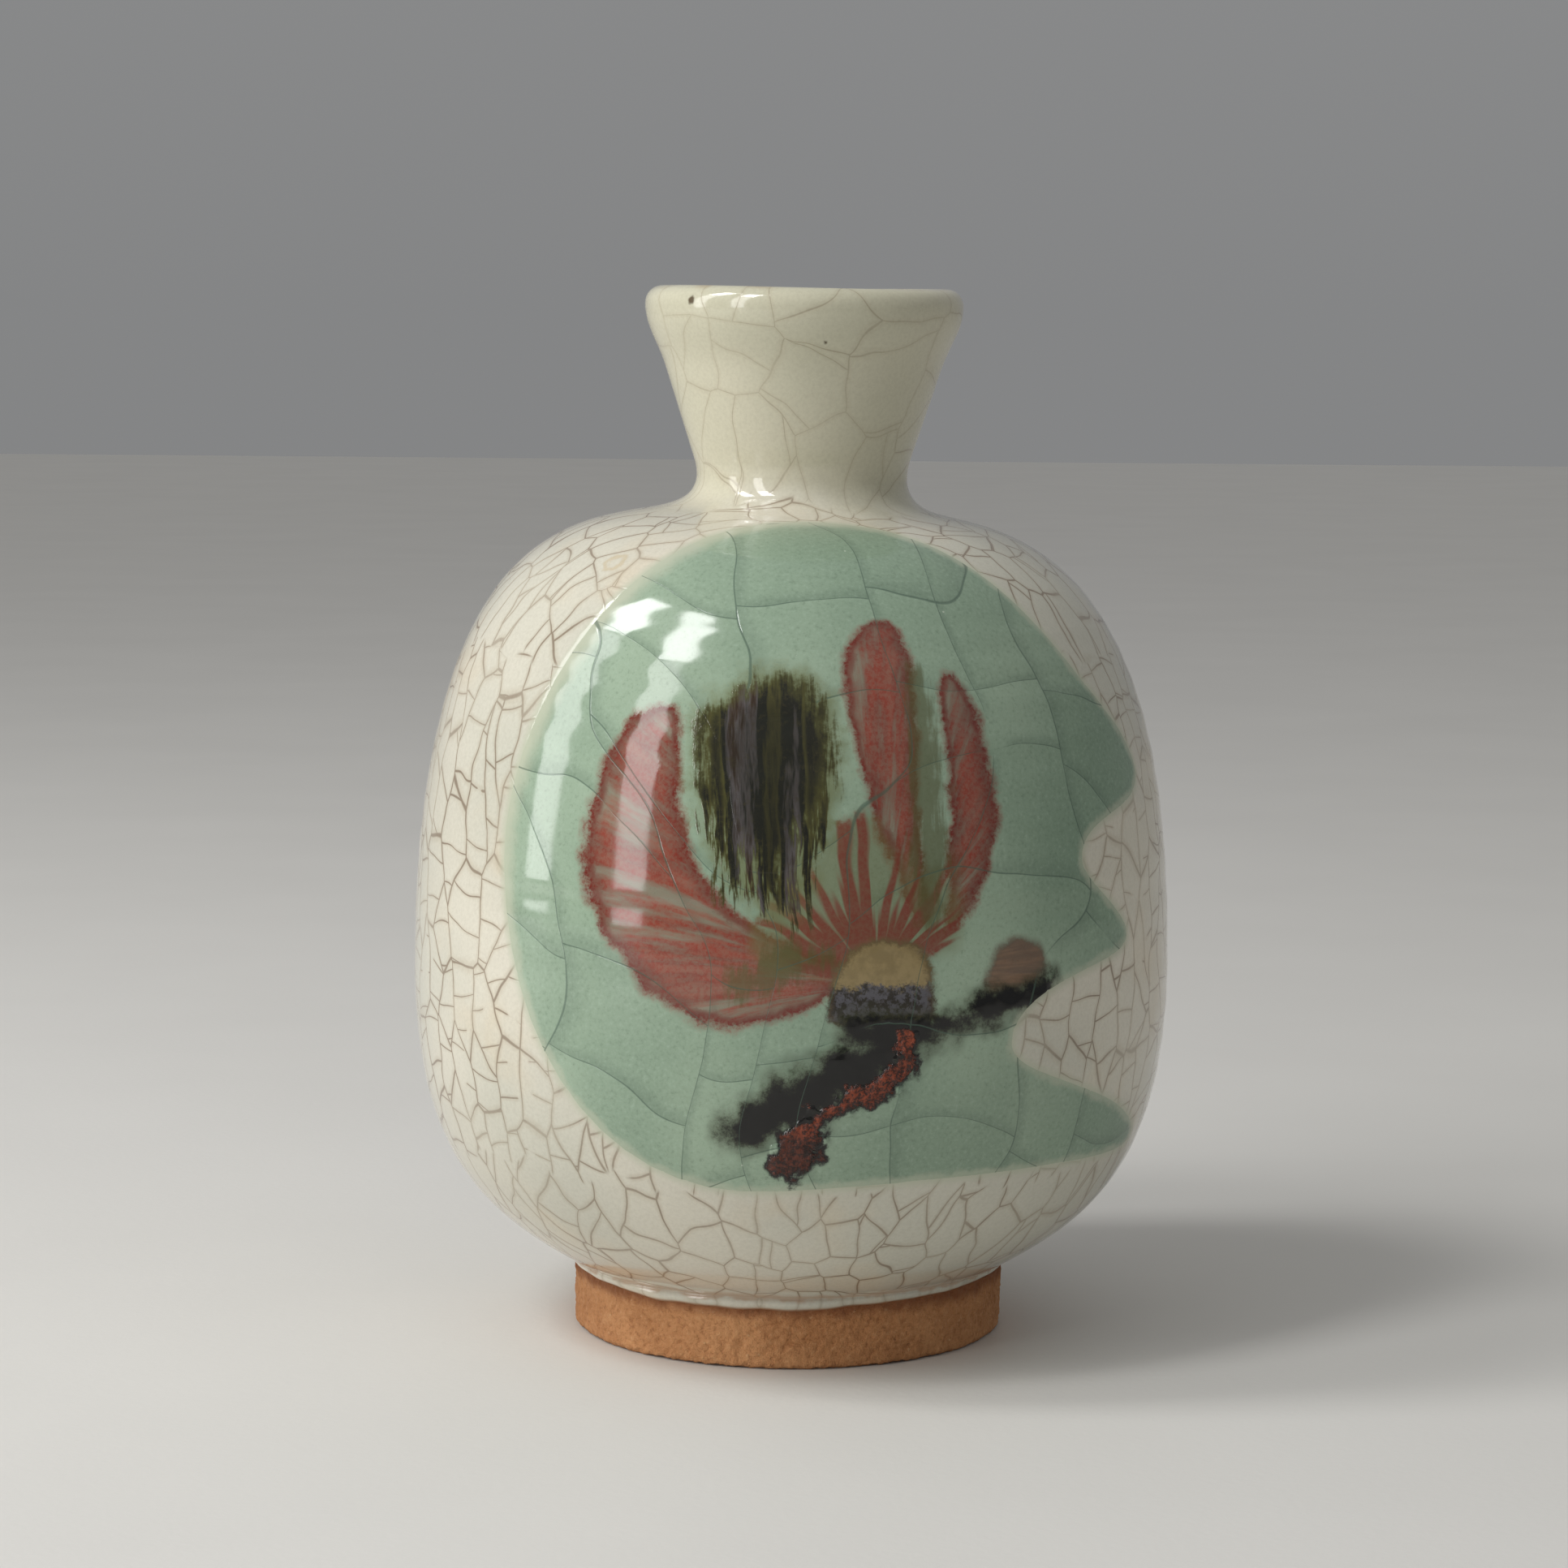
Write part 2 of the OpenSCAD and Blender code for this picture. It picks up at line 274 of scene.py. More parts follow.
def turned(azimuth, radius, height):
    """Points at an azimuth in degrees around the upright axis."""
    turn = np.radians(azimuth)
    return np.stack(np.broadcast_arrays(radius * np.sin(turn), -radius * np.cos(turn), height), -1)


def leaned(p):
    """Points carried from the upright axis to the neck's own leaning one."""
    return NECK_POINT + p[..., :1] * SIDE + p[..., 1:2] * BACK + (p[..., 2:] - NECK_POINT[2]) * NECK_AXIS


def surface(azimuth, run, lift=0.0):
    """Points of the pot's surface in mm, moved out of it by lift."""
    azimuth, run, lift = np.broadcast_arrays(azimuth, run, lift)
    straight = turned(azimuth, *section(azimuth, run, lift))
    share = neck_share(run)[..., None]
    return by_hand(straight * (1 - share) + leaned(straight) * share)


# ---- the painting

# The window's plane, as the CAD has it: it faces 8 degrees right of the front, 20 up
WINDOW_TURN, WINDOW_TILT, WINDOW_Z = math.radians(8), math.radians(20), 62
WINDOW_X = np.array([math.cos(WINDOW_TURN), math.sin(WINDOW_TURN), 0])
LEVEL = np.array([math.sin(WINDOW_TURN), -math.cos(WINDOW_TURN), 0])
WINDOW_Y = math.cos(WINDOW_TILT) * np.array([0, 0, 1]) - math.sin(WINDOW_TILT) * LEVEL
WINDOW_OUT = math.cos(WINDOW_TILT) * LEVEL + math.sin(WINDOW_TILT) * np.array([0, 0, 1])

WINDOW = outline([
    (-2, 30.8, 0, 18, 14), (30, 11.5, -47, 14, 4), (38.6, 1.2, -90, 4, 5), (29.5, -11, -90, 5, 3),
    (36.4, -18.5, -90, 3, 4), (20, -33, -90, 7, 4.5), (39.2, -39.8, -90, 3.6, 4),
    (-8, -49, 180, 24, 18), (-38, -9, 90, 24, 20)])
# Outlines on that plane, as knots of x, y, heading and the handles before and after
BRUSHWORK = {
    "petals": [
        [(-20, 6, 180, 3, 4), (-29.5, -10, -90, 9, 10), (-12, -31, 0, 9, 5),
         (1, -26, 60, 3, 2), (-9, -22, 150, 4, 4), (-18.5, -8, 100, 6, 6)],
        [(4.5, 15, 0, 3, 3), (8.2, 6, -88, 5, 7), (9.4, -18.5, -82, 6, 1),
         (7.2, -19.5, 118, 1, 6), (0.2, 5, 100, 9, 5)],
        [(12.9, 9, 0, 1.5, 2), (17.6, -8, -90, 7, 6), (12.5, -20.5, 215, 4, 1.5),
         (11.8, -17, 80, 2, 5), (11.4, 2, 92, 7, 4)]],
    "heart": [
        [(-16, 5, 30, 2, 4), (-7, 8.5, 0, 4, 3), (-1, 0, -85, 5, 5), (-8, -19, 180, 3, 2),
         (-16.5, -6, 95, 7, 5)]],
    "calyx": [
        [(4, -22, 0, 4, 3), (9.6, -24.5, -70, 2, 2), (10.2, -30, -105, 2, 1.5),
         (4, -31.6, 186, 4, 4), (-2.4, -30, 100, 1.5, 3)]],
    "branch": [
        [(-14, -41.5, 60, 1, 2), (2, -33, 20, 6, 7), (24.5, -26.2, 0, 5, 0.5),
         (24.5, -27.8, 190, 0.5, 5), (8, -34, 210, 5, 5), (-3, -41.5, 200, 5, 4),
         (-12, -44, 160, 2, 1)],
        [(-1, -31.5, 60, 2, 2), (9, -30.2, 10, 3, 3), (25.5, -24.9, 30, 5, 1),
         (24, -28.4, 200, 1, 5), (7, -35, 215, 5, 3)]],
    "crest": [
        [(-7, -42.5, 45, 3, 3), (0, -38.6, 15, 3, 2), (6, -32.5, 80, 3, 1),
         (8.6, -32.5, -95, 1, 3), (6.5, -38, 215, 2, 3), (-1, -41.5, 210, 3, 2),
         (-3.5, -46.5, 230, 2, 1.5), (-8, -48, 160, 1.5, 1.5)]],
    # The last three are brushwork in the glaze itself, with no thickness of their own
    "comb": [
        [(-6, -14, 40, 4, 3), (2, -8, 20, 3, 3), (8, -14, -40, 3, 2), (13, -13, -60, 2, 4),
         (12, -23, 200, 3, 4), (0, -26.5, 185, 4, 4), (-11, -24, 120, 4, 4)]],
    "sepal": [
        [(8.6, 9.5, 0, 1.5, 2), (12, -6, -88, 7, 6), (11, -20, -100, 5, 2),
         (8, -19, 95, 2, 8), (7, 3, 90, 6, 3)],
        [(-12, -24, 20, 3, 3), (-2, -22.5, -20, 3, 2), (-4, -26, 200, 2, 3),
         (-13, -28, 150, 3, 2)]],
    "bud": [
        [(16.5, -27.5, 100, 1, 3), (21, -21, 10, 2.5, 2), (24.5, -24, -100, 2, 1.5),
         (20, -27.3, 190, 3, 2)]],
}
SHAPES = {name: [outline(knots) for knots in loops] for name, loops in BRUSHWORK.items()}
STROKE_ROOT = np.array([3.0, -27.0])   # the blossom's strokes fan out of its calyx


def on_window_plane(p):
    """Coordinates of points on the window's plane, and how far they lie in front of it."""
    q = p - [0, 0, WINDOW_Z]
    return np.stack([q @ WINDOW_X, q @ WINDOW_Y], -1), q @ WINDOW_OUT


def window_depth(p):
    """Distance in mm along the pot from each grid point to the window's edge, positive inside."""
    flat, front = on_window_plane(p)
    depth = depth_inside(flat.reshape(-1, 2), WINDOW).reshape(front.shape)
    depth = np.where(front > 0, depth, -40)
    across = np.gradient(depth, axis=1) / np.linalg.norm(np.gradient(p, axis=1), axis=-1)
    up = np.gradient(depth, axis=0) / np.linalg.norm(np.gradient(p, axis=0), axis=-1)
    return np.clip(depth / np.clip(np.hypot(across, up), 0.35, 1.2), -40, 40)


def painting(p):
    """The painting's fields at points on the pot, by name."""
    flat, front = on_window_plane(p)
    flat = flat.reshape(-1, 2)
    fields = {}
    for name, loops in SHAPES.items():
        depth = np.max([depth_inside(flat, loop) for loop in loops], axis=0).reshape(front.shape)
        fields[name] = np.where(front > 0, np.clip(depth, -6, 40), -6)
    fan = flat - STROKE_ROOT
    fields["stroke_turn"] = (np.degrees(np.arctan2(fan[:, 0], fan[:, 1])) * 0.35).reshape(front.shape)
    fields["stroke_run"] = np.linalg.norm(fan, axis=1).reshape(front.shape)
    fields["paint_x"] = flat[:, 0].reshape(front.shape)
    fields["paint_y"] = flat[:, 1].reshape(front.shape)
    return fields


# ---- meshes


def mesh_object(name, points, faces, fields=None):
    """A smooth mesh with its fields as attributes. Its open edges are sharp, so that rims stay crisp."""
    mesh = bpy.data.meshes.new(name)
    mesh.from_pydata((points * MM).tolist(), [], faces)
    mesh.polygons.foreach_set("use_smooth", [True] * len(mesh.polygons))
    for field, values in (fields or {}).items():
        mesh.attributes.new(field, "FLOAT", "POINT").data.foreach_set("value", values.astype(np.float32))
    mesh.validate()
    edge_of = np.empty(len(mesh.loops), np.int32)
    mesh.loops.foreach_get("edge_index", edge_of)
    uses = np.bincount(edge_of, minlength=len(mesh.edges))
    mesh.edges.foreach_set("use_edge_sharp", uses == 1)
    piece = bpy.data.objects.new(name, mesh)
    bpy.context.scene.collection.objects.link(piece)
    return piece


def trimmed(points, level, fields, wrap):
    """The part of a grid of points where level is above 0, cut along level = 0."""
    rows, cols = level.shape
    stacked = np.concatenate([points] + [f[..., None] for f in fields.values()], -1)
    rowsets, index = [], {}

    def corner(a):
        if a not in index:
            index[a] = len(rowsets)
            rowsets.append(stacked[a])
        return index[a]

    def crossing(a, b):
        key = (min(a, b), max(a, b))
        if key not in index:
            t = level[key[0]] / (level[key[0]] - level[key[1]])
            index[key] = len(rowsets)
            rowsets.append(stacked[key[0]] * (1 - t) + stacked[key[1]] * t)
        return index[key]

    keep = level > 0
    faces = []
    for i in range(rows - 1):
        for j in range(cols if wrap else cols - 1):
            k = (j + 1) % cols
            ring = [(i, j), (i, k), (i + 1, k), (i + 1, j)]
            kept = [keep[a] for a in ring]
            if not any(kept):
                continue
            face = []
            for n in range(4):
                a, b = ring[n], ring[(n + 1) % 4]
                if kept[n]:
                    face.append(corner(a))
                if kept[n] != kept[(n + 1) % 4]:
                    face.append(crossing(a, b))
            faces.append(face)
    table = np.array(rowsets)
    return table[:, :3], faces, {name: table[:, 3 + n] for n, name in enumerate(fields)}


def thickened(piece, thickness):
    """Closes a glaze skin into a solid coat that reaches into the pot."""
    solid = piece.modifiers.new("coat", "SOLIDIFY")
    solid.thickness, solid.offset = thickness * MM, -1


def grid_object(name, points, fields, level=None, wrap=True):
    """A skin over a grid of points, only where level is above 0 if one is given."""
    if level is None:
        level = np.ones(points.shape[:2])
    return mesh_object(name, *trimmed(points, level, fields, wrap))


def bands(rows, columns, joined):
    """The faces between a lathe's rows. In a joined one the last row meets the first."""
    return [[i * columns + j, i * columns + (j + 1) % columns,
             (i + 1) % rows * columns + (j + 1) % columns, (i + 1) % rows * columns + j]
            for i in range(rows if joined else rows - 1) for j in range(columns)]


def turned_ring(name, loop, columns, place):
    """A solid ring: a closed loop of [radius, height] turned round, placed by a function."""
    azimuth = np.arange(columns) * 360 / columns
    points = place(azimuth[None, :], np.asarray(loop)[:, None, :])
    return mesh_object(name, points.reshape(-1, 3), bands(len(loop), columns, True))


def turned_solid(name, line, columns, place):
    """A solid of revolution whose line starts and ends on the axis."""
    azimuth = np.arange(columns) * 360 / columns
    body = place(azimuth[None, :], np.asarray(line[1:-1])[:, None, :])
    ends = [place(np.zeros((1, 1)), np.array([[p]]))[0, 0] for p in (line[0], line[-1])]
    rows = len(line) - 2
    first, last, top = rows * columns, rows * columns + 1, (rows - 1) * columns
    faces = bands(rows, columns, False)
    faces += [[first, (j + 1) % columns, j] for j in range(columns)]
    faces += [[last, top + j, top + (j + 1) % columns] for j in range(columns)]
    return mesh_object(name, np.vstack([body.reshape(-1, 3), ends]), faces)


def upright(azimuth, places):
    """Points at [radius, height] around the belly's axis, with the pot's unevenness."""
    return by_hand(turned(azimuth, places[..., 0], places[..., 1]))


def leaning(azimuth, places):
    """The same around the neck's axis."""
    return by_hand(leaned(turned(azimuth, places[..., 0], places[..., 1])))


# ---- shader nodes


def srgb(red, green, blue):
    """A colour as it looks on screen, 0 to 255, as the linear colour that shaders take."""
    def channel(c):
        c /= 255
        return c / 12.92 if c <= 0.04045 else ((c + 0.055) / 1.055) ** 2.4
    return (channel(red), channel(green), channel(blue), 1.0)


class Value:
    """A number in a node tree. Arithmetic on it adds maths nodes."""

    def __init__(self, nodes, socket):
        self.nodes, self.socket = nodes, socket

    def __add__(self, other):
        return self.nodes.math("ADD", self, other)

    def __sub__(self, other):
        return self.nodes.math("SUBTRACT", self, other)

    def __rsub__(self, other):
        return self.nodes.math("SUBTRACT", other, self)

    def __mul__(self, other):
        return self.nodes.math("MULTIPLY", self, other)

    def __truediv__(self, number):
        return self * (1 / number)


class Nodes:
    """Writes a material's node tree as function calls. Any input may be a number, a value or a socket."""

    def __init__(self, name):
        self.material = bpy.data.materials.new(name)
        self.material.use_nodes = True
        self.tree = self.material.node_tree
        self.tree.nodes.clear()

    def put(self, socket, value):
        if isinstance(value, Value):
            value = value.socket
        if isinstance(value, bpy.types.NodeSocket):
            self.tree.links.new(value, socket)
        else:
            socket.default_value = value

    def add(self, kind, inputs=None, **settings):
        node = self.tree.nodes.new("ShaderNode" + kind)
        for key, value in settings.items():
            setattr(node, key, value)
        for key, value in (inputs or {}).items():
            self.put(node.inputs[key], value)
        return node

    def math(self, operation, a, b=0.0):
        return Value(self, self.add("Math", {0: a, 1: b}, operation=operation).outputs[0])

    def most(self, a, b):
        return self.math("MAXIMUM", a, b)

    def least(self, a, b):
        return self.math("MINIMUM", a, b)

    def vector(self, operation, a, b=(0, 0, 0)):
        return self.add("VectorMath", {0: a, 1: b}, operation=operation).outputs[0]

    def scaled(self, a, factor):
        return self.add("VectorMath", {0: a, "Scale": factor}, operation="SCALE").outputs[0]

    def combined(self, x, y, z):
        return self.add("CombineXYZ", {0: x, 1: y, 2: z}).outputs[0]

    def split(self, vector):
        return [Value(self, part) for part in self.add("SeparateXYZ", {0: vector}).outputs]

    def field(self, name):
        return Value(self, self.add("Attribute", attribute_name=name).outputs["Fac"])

    def place(self):
        """The point on the pot, in mm."""
        coordinates = self.add("TexCoord").outputs["Object"]
        return self.scaled(coordinates, 1 / MM)

    def ramp(self, value, low, high, start=0.0, end=1.0):
        """From start at low to end at high, along an S-curve."""
        node = self.add("MapRange",
                        {"Value": value, "From Min": low, "From Max": high, "To Min": start, "To Max": end},
                        interpolation_type="SMOOTHSTEP")
        return Value(self, node.outputs[0])

    def noise_node(self, vector, size, detail, rough=0.5):
        return self.add("TexNoise", {"Vector": vector, "Scale": 1 / size, "Detail": detail,
                                               "Roughness": rough}, noise_dimensions="3D")

    def noise(self, vector, size, detail=2.0, rough=0.5):
        """Noise whose bumps are about size mm apart, 0 to 1."""
        return Value(self, self.noise_node(vector, size, detail, rough).outputs["Fac"])

    def patchy(self, vector, size, low, high, detail=2.0):
        """A number that wanders between low and high over size mm."""
        return self.ramp(self.noise(vector, size, detail), 0.3, 0.7, low, high)

    def wander(self, vector, size, detail=1.0):
        """A vector of about -0.25 to 0.25 that changes over size mm."""
        colour = self.noise_node(vector, size, detail).outputs["Color"]
        return self.vector("SUBTRACT", colour, (0.5, 0.5, 0.5))

    def warped(self, vector, size, amount):
        """The point moved about by amount mm, by bumps size mm apart."""
        return self.vector("ADD", vector, self.scaled(self.wander(vector, size), 2 * amount))

    def distance(self, p, point):
        node = self.add("VectorMath", {0: p, 1: tuple(point)}, operation="DISTANCE")
        return Value(self, node.outputs["Value"])

    def angle(self, p):
        """The azimuth in radians, 0 at the painted front."""
        x, y, _ = self.split(p)
        return self.math("ARCTAN2", x, y * -1)

    def line_at_whole(self, value, spacing):
        """Distance in mm to the nearest whole number of a value that grows by 1 in spacing mm."""
        return self.math("PINGPONG", value, 0.5) * spacing

    def random_of_whole(self, value, seed=0.0):
        """One random number for each whole part of a value."""
        whole = self.math("FLOOR", value) + seed
        node = self.add("TexWhiteNoise", {"W": whole}, noise_dimensions="1D")
        return Value(self, node.outputs["Value"])

    def banded(self, value, *stops):
        """A colour for each value, through (value, colour) stops."""
        node = self.add("ValToRGB", {"Fac": value})
        elements = node.color_ramp.elements
        while len(elements) < len(stops):
            elements.new(0.5)
        for element, (position, colour) in zip(elements, sorted(stops)):
            element.position, element.color = position, colour
        return node.outputs["Color"]

    def flat_cells(self, x, y, size):
        """Distance in mm to the nearest wall between cells on a flat chart, and a random vector per cell."""
        inputs = {"Vector": self.combined(x, y, 0.0), "Scale": 1 / size, "Randomness": 0.9}
        wall, cell = [self.add("TexVoronoi", inputs, voronoi_dimensions="2D", feature=feature)
                      for feature in ("DISTANCE_TO_EDGE", "F1")]
        return Value(self, wall.outputs["Distance"]) * size, cell.outputs["Color"]

    def dots(self, vector, spacing, radius, share):
        """1 inside small dots of a radius, on a share of the cells of a spacing."""
        node = self.add("TexVoronoi", {"Vector": vector, "Scale": 1 / spacing}, feature="F1")
        near = self.ramp(Value(self, node.outputs["Distance"]) * spacing, radius * 0.6, radius, 1, 0)
        return near * self.math("LESS_THAN", self.split(node.outputs["Color"])[0], share)

    def mix(self, factor, a, b, blend="MIX"):
        node = self.add("Mix", {0: factor, 6: a, 7: b},
                        data_type="RGBA", blend_type=blend, clamp_factor=True)
        return node.outputs[2]

    def darken(self, factor, a, b):
        return self.mix(factor, a, b, "MULTIPLY")

    def finish(self, colour, height, **surface_inputs):
        """Ends the tree in a principled surface. height is relief in mm."""
        bump = self.add("Bump", {"Height": height, "Distance": MM, "Strength": 1.0})
        inputs = {"Base Color": colour, "Normal": bump.outputs[0]}
        inputs.update(surface_inputs)
        shader = self.add("BsdfPrincipled", inputs)
        out = self.add("OutputMaterial")
        self.tree.links.new(shader.outputs[0], out.inputs["Surface"])
        return self.material


# ---- glazes

# Marks on the glaze: a burst blister near the shoulder, and the lip's iron spots with their radii
BLISTER = surface(-41.0, RUN_SHOULDER - 14.0)
IRON_SPOTS = [(surface(-44.0, RUN_TOP - 3.0), 0.55), (surface(8.0, RUN_TOP - 8.0), 0.3)]

IVORY, IVORY_GREY, IVORY_WARM = srgb(213, 208, 192), srgb(199, 197, 182), srgb(212, 198, 172)
NECK_IVORY, NECK_GREY = srgb(208, 203, 181), srgb(196, 193, 170)
CRACK_BROWN, CRACK_GREY = srgb(118, 98, 78), srgb(140, 126, 108)
CELADON, CELADON_DEEP, CELADON_PALE = srgb(157, 176, 153), srgb(137, 158, 136), srgb(184, 188, 166)
# The first colour below is for the window's right side, away from the lamps: partly a deeper, less red glaze
# and partly painted shade.
CELADON_POOL_AND_SHADE, CRACK_TEAL = srgb(104, 132, 110), srgb(66, 88, 74)


def crack(n, wall, half_width):
    """1 on a crack and 0 beside it, from the distance to it."""
    return n.ramp(wall, half_width * 0.3, half_width, 1, 0)


def chart(n, p, x, y):
    """Chart coordinates in mm, bent so that cracks wander."""
    wide_x, wide_y, _ = n.split(n.wander(p, 28))
    near_x, near_y, _ = n.split(n.wander(p, 6.5))
    return (x + wide_x * 11 + near_x * 2.2,
            y + wide_y * 11 + near_y * 2.2)


def upright_crackle(n, p, x, y):
    """Long cracks that wander up the belly, with shorter ones between them that turn off in Ts.

    Returns the distance in mm to the nearest crack."""
    walls, cell = n.flat_cells(x, y * 0.42, 4.3)
    pick, lean, _ = n.split(cell)
    slope = (lean - 0.5) * x * 0.16
    row = y / 5.0 + slope + pick * 17.0
    gone = n.ramp(n.noise(p, 9, 1), 0.36, 0.30, 0, 1)
    return n.least(walls, n.line_at_whole(row, 5.0) + gone)


def webbed_crackle(n, x, y, size, share=0.5):
    """Crackle in cells of any direction, some of them cut again. Returns the distance to it."""
    wall, cell = n.flat_cells(x, y, size)
    pick, lean, _ = n.split(cell)
    turn = lean * math.tau
    across = x * n.math("COSINE", turn) + y * n.math("SINE", turn)
    cut = n.line_at_whole(across / size + pick * 17.0, size)
    return n.least(wall, cut + n.math("GREATER_THAN", pick, share))


BELLY_ROUND = 46   # mm around the belly for each radian


def white_crackle(n, p, height, half_width):
    """Upright crackle on the belly's side, webbed under it and on its shoulder, sparse on the neck.

    Returns how dark the cracks are, and the stain beside them."""
    x, y, _ = n.split(p)
    around = n.angle(p) * BELLY_ROUND
    side_x, side_y = chart(n, p, around, n.field("run"))
    flat_x, flat_y = chart(n, p, x, y)
    neck_x, neck_y = chart(n, p, around * 0.35, n.field("run") * 0.85)
    side = n.ramp(height, 25.5, 26.5) * n.ramp(height, 86.5, 85.5)
    total, stain = 0.0, 0.0
    on_neck = n.ramp(height, 103.0, 104.0)
    flat = (1 - side) * (1 - on_neck)
    for share, wall, strength, width in (
            (side, upright_crackle(n, p, side_x, side_y), 1.0, 1.0),
            (flat, webbed_crackle(n, flat_x, flat_y, 4.6), 1.0, 1.0),
            (on_neck, webbed_crackle(n, neck_x, neck_y, 8.0), 0.48, 0.70)):
        line = crack(n, wall, half_width * width)
        total = n.most(total, share * line * strength)
        stain = n.most(stain, share * n.ramp(wall, 0.05, 0.55, strength, 0))
    return total, stain


def white_glaze(name, on_belly=False):
    n = Nodes(name)
    p = n.place()
    height = n.split(p)[2] + n.patchy(p, 9, -1.5, 1.5)
    on_neck = n.ramp(height, 101.0, 107.0)
    half_width = n.patchy(p, 6, 0.09, 0.18)
    lines, beside = white_crackle(n, p, height, half_width)
    if on_belly:
        lines = lines * n.ramp(n.field("run"), -0.6, 1.2, 0.25, 1)
    base = n.mix(on_neck, IVORY, NECK_IVORY)
    shade = n.mix(on_neck, IVORY_GREY, NECK_GREY)
    colour = n.mix(n.ramp(n.noise(p, 38, 2), 0.35, 0.65), base, shade)
    warm = n.ramp(n.noise(p, 13, 3), 0.5, 0.75) * 0.5
    colour = n.mix(warm * (1 - on_neck), colour, IVORY_WARM)
    stain = n.noise(n.vector("ADD", p, (5, 50, 9)), 17, 2)
    colour = n.darken(beside * 0.26, colour, srgb(200, 178, 152))
    colour = n.mix(lines * n.ramp(stain, 0.3, 0.65, 0.40, 0.74), colour,
                   n.mix(n.ramp(stain, 0.35, 0.6), CRACK_GREY, CRACK_BROWN))
    colour = n.mix(n.dots(p, 7, 0.17, 0.12) * 0.65, colour, srgb(120, 96, 62))
    grain = n.noise(p, 0.45, 2, 0.7)
    colour = n.darken(n.ramp(grain, 0.3, 0.8, 0.0, 0.13), colour, srgb(150, 140, 120))
    if on_belly:
        colour = foot_edge(n, p, colour)
        spot = n.distance(p, BLISTER) + n.noise(p, 1.2, 2) * 1.6
        ring = n.ramp(n.math("ABSOLUTE", spot - 1.9), 0.1, 0.6, 1, 0)
        colour = n.mix(ring * 0.4, colour, srgb(186, 162, 116))
        colour = n.mix(n.ramp(n.field("window"), -1.3, 0.4), colour, CELADON_PALE)
    else:
        colour = lip_marks(n, p, colour)
    relief = lines * -0.010 + n.noise(p, 4.2, 1) * 0.013 + grain * 0.0018
    rough = n.patchy(p, 9, 0.06, 0.12)
    return n.finish(colour, relief, Roughness=rough, IOR=1.5)


def foot_edge(n, p, colour):
    """The thin pinkish glaze just above the rolled bead, and clay showing through its lower edge."""
    run = n.field("run") + n.patchy(p, 3, -0.5, 0.5)
    thin = n.ramp(run, -0.6, 0.1) * n.ramp(run, 0.5, 2.4, 1, 0)
    colour = n.mix(thin * 0.7, colour, srgb(182, 152, 126))
    return n.mix(n.ramp(n.field("run"), -1.9, -1.35, 0.85, 0), colour, srgb(150, 106, 72))


def lip_marks(n, p, colour):
    """The lip: glaze worn thin and brownish at places on its edge, and two iron spots."""
    worn = n.ramp(n.split(p)[2], 129.4, 129.95) * n.ramp(n.noise(p, 5, 3), 0.52, 0.66)
    colour = n.mix(worn * 0.35, colour, srgb(158, 128, 86))
    for spot, radius in IRON_SPOTS:
        near = n.distance(p, spot) + n.noise(p, 0.6, 2) * 0.5
        colour = n.mix(n.ramp(near, 0.25 + radius * 0.5, 0.25 + radius * 1.3, 0.9, 0), colour,
                       srgb(74, 56, 30))
    return colour


def celadon_colour(n, p):
    """The celadon's colour and relief, with its long curved cracks, tilted flakes and bubbles."""
    x, y = n.field("paint_x"), n.field("paint_y")
    bend_x, bend_y, _ = n.split(n.wander(p, 44))
    small_x, small_y, _ = n.split(n.wander(p, 9))
    column = x / 11.5 + bend_x * 4.4 + small_x * 0.12
    strip = n.random_of_whole(column, 5)
    row = y / 13 + bend_y * 4.4 + small_y * 0.12 + x * 0.012 + strip * 5.3
    flake = n.random_of_whole(n.math("FLOOR", row) + strip * 97.0, 3)
    half_width = n.patchy(p, 8, 0.07, 0.14)
    wall = n.least(n.line_at_whole(column, 11), n.line_at_whole(row, 12))
    shown = n.ramp(n.noise(n.vector("ADD", p, (8, 16, -8)), 18, 1), 0.28, 0.36)
    lines = crack(n, wall, half_width) * shown
    past_crack = n.least(n.math("FRACT", column), n.math("FRACT", row))
    shade = n.ramp(past_crack, 0.0, 0.17, 1, 0) * shown
    colour = n.mix(n.ramp(n.noise(p, 30, 2), 0.35, 0.65), CELADON, CELADON_DEEP)
    # Painted shade: the window's right side, away from the lamps, darkens towards this colour, which is also
    # a deeper, less red glaze.
    colour = n.mix(n.ramp(x, 20, 34, 0, 0.55), colour, CELADON_POOL_AND_SHADE)
    colour = n.darken(flake * 0.22, colour, srgb(178, 194, 184))
    colour = n.mix(shade * 0.26, colour, CRACK_TEAL)
    mottle = n.noise(p, 0.5, 2, 0.7)
    colour = n.mix(n.ramp(mottle, 0.5, 0.8, 0.0, 0.3), colour, srgb(170, 190, 170))
    colour = n.darken(n.ramp(mottle, 0.5, 0.2, 0.0, 0.3), colour, srgb(130, 146, 134))
    bubbles = n.dots(p, 2.9, 0.15, 0.12)
    colour = n.mix(bubbles * 0.6, colour, srgb(206, 214, 196))
    edge = n.field("window") + n.patchy(p, 2.2, -0.25, 0.25, 3)
    upper_left = n.ramp(y - x, 0, 40)
    band = n.ramp(edge, 0.2, upper_left * 1.9 + 1.2, 1, 0)
    colour = n.mix(band * (upper_left * 0.35 + 0.55), colour, CELADON_PALE)
    relief = lines * -0.010 + n.noise(p, 4.2, 1) * 0.015 + mottle * 0.0018
    return colour, lines, relief


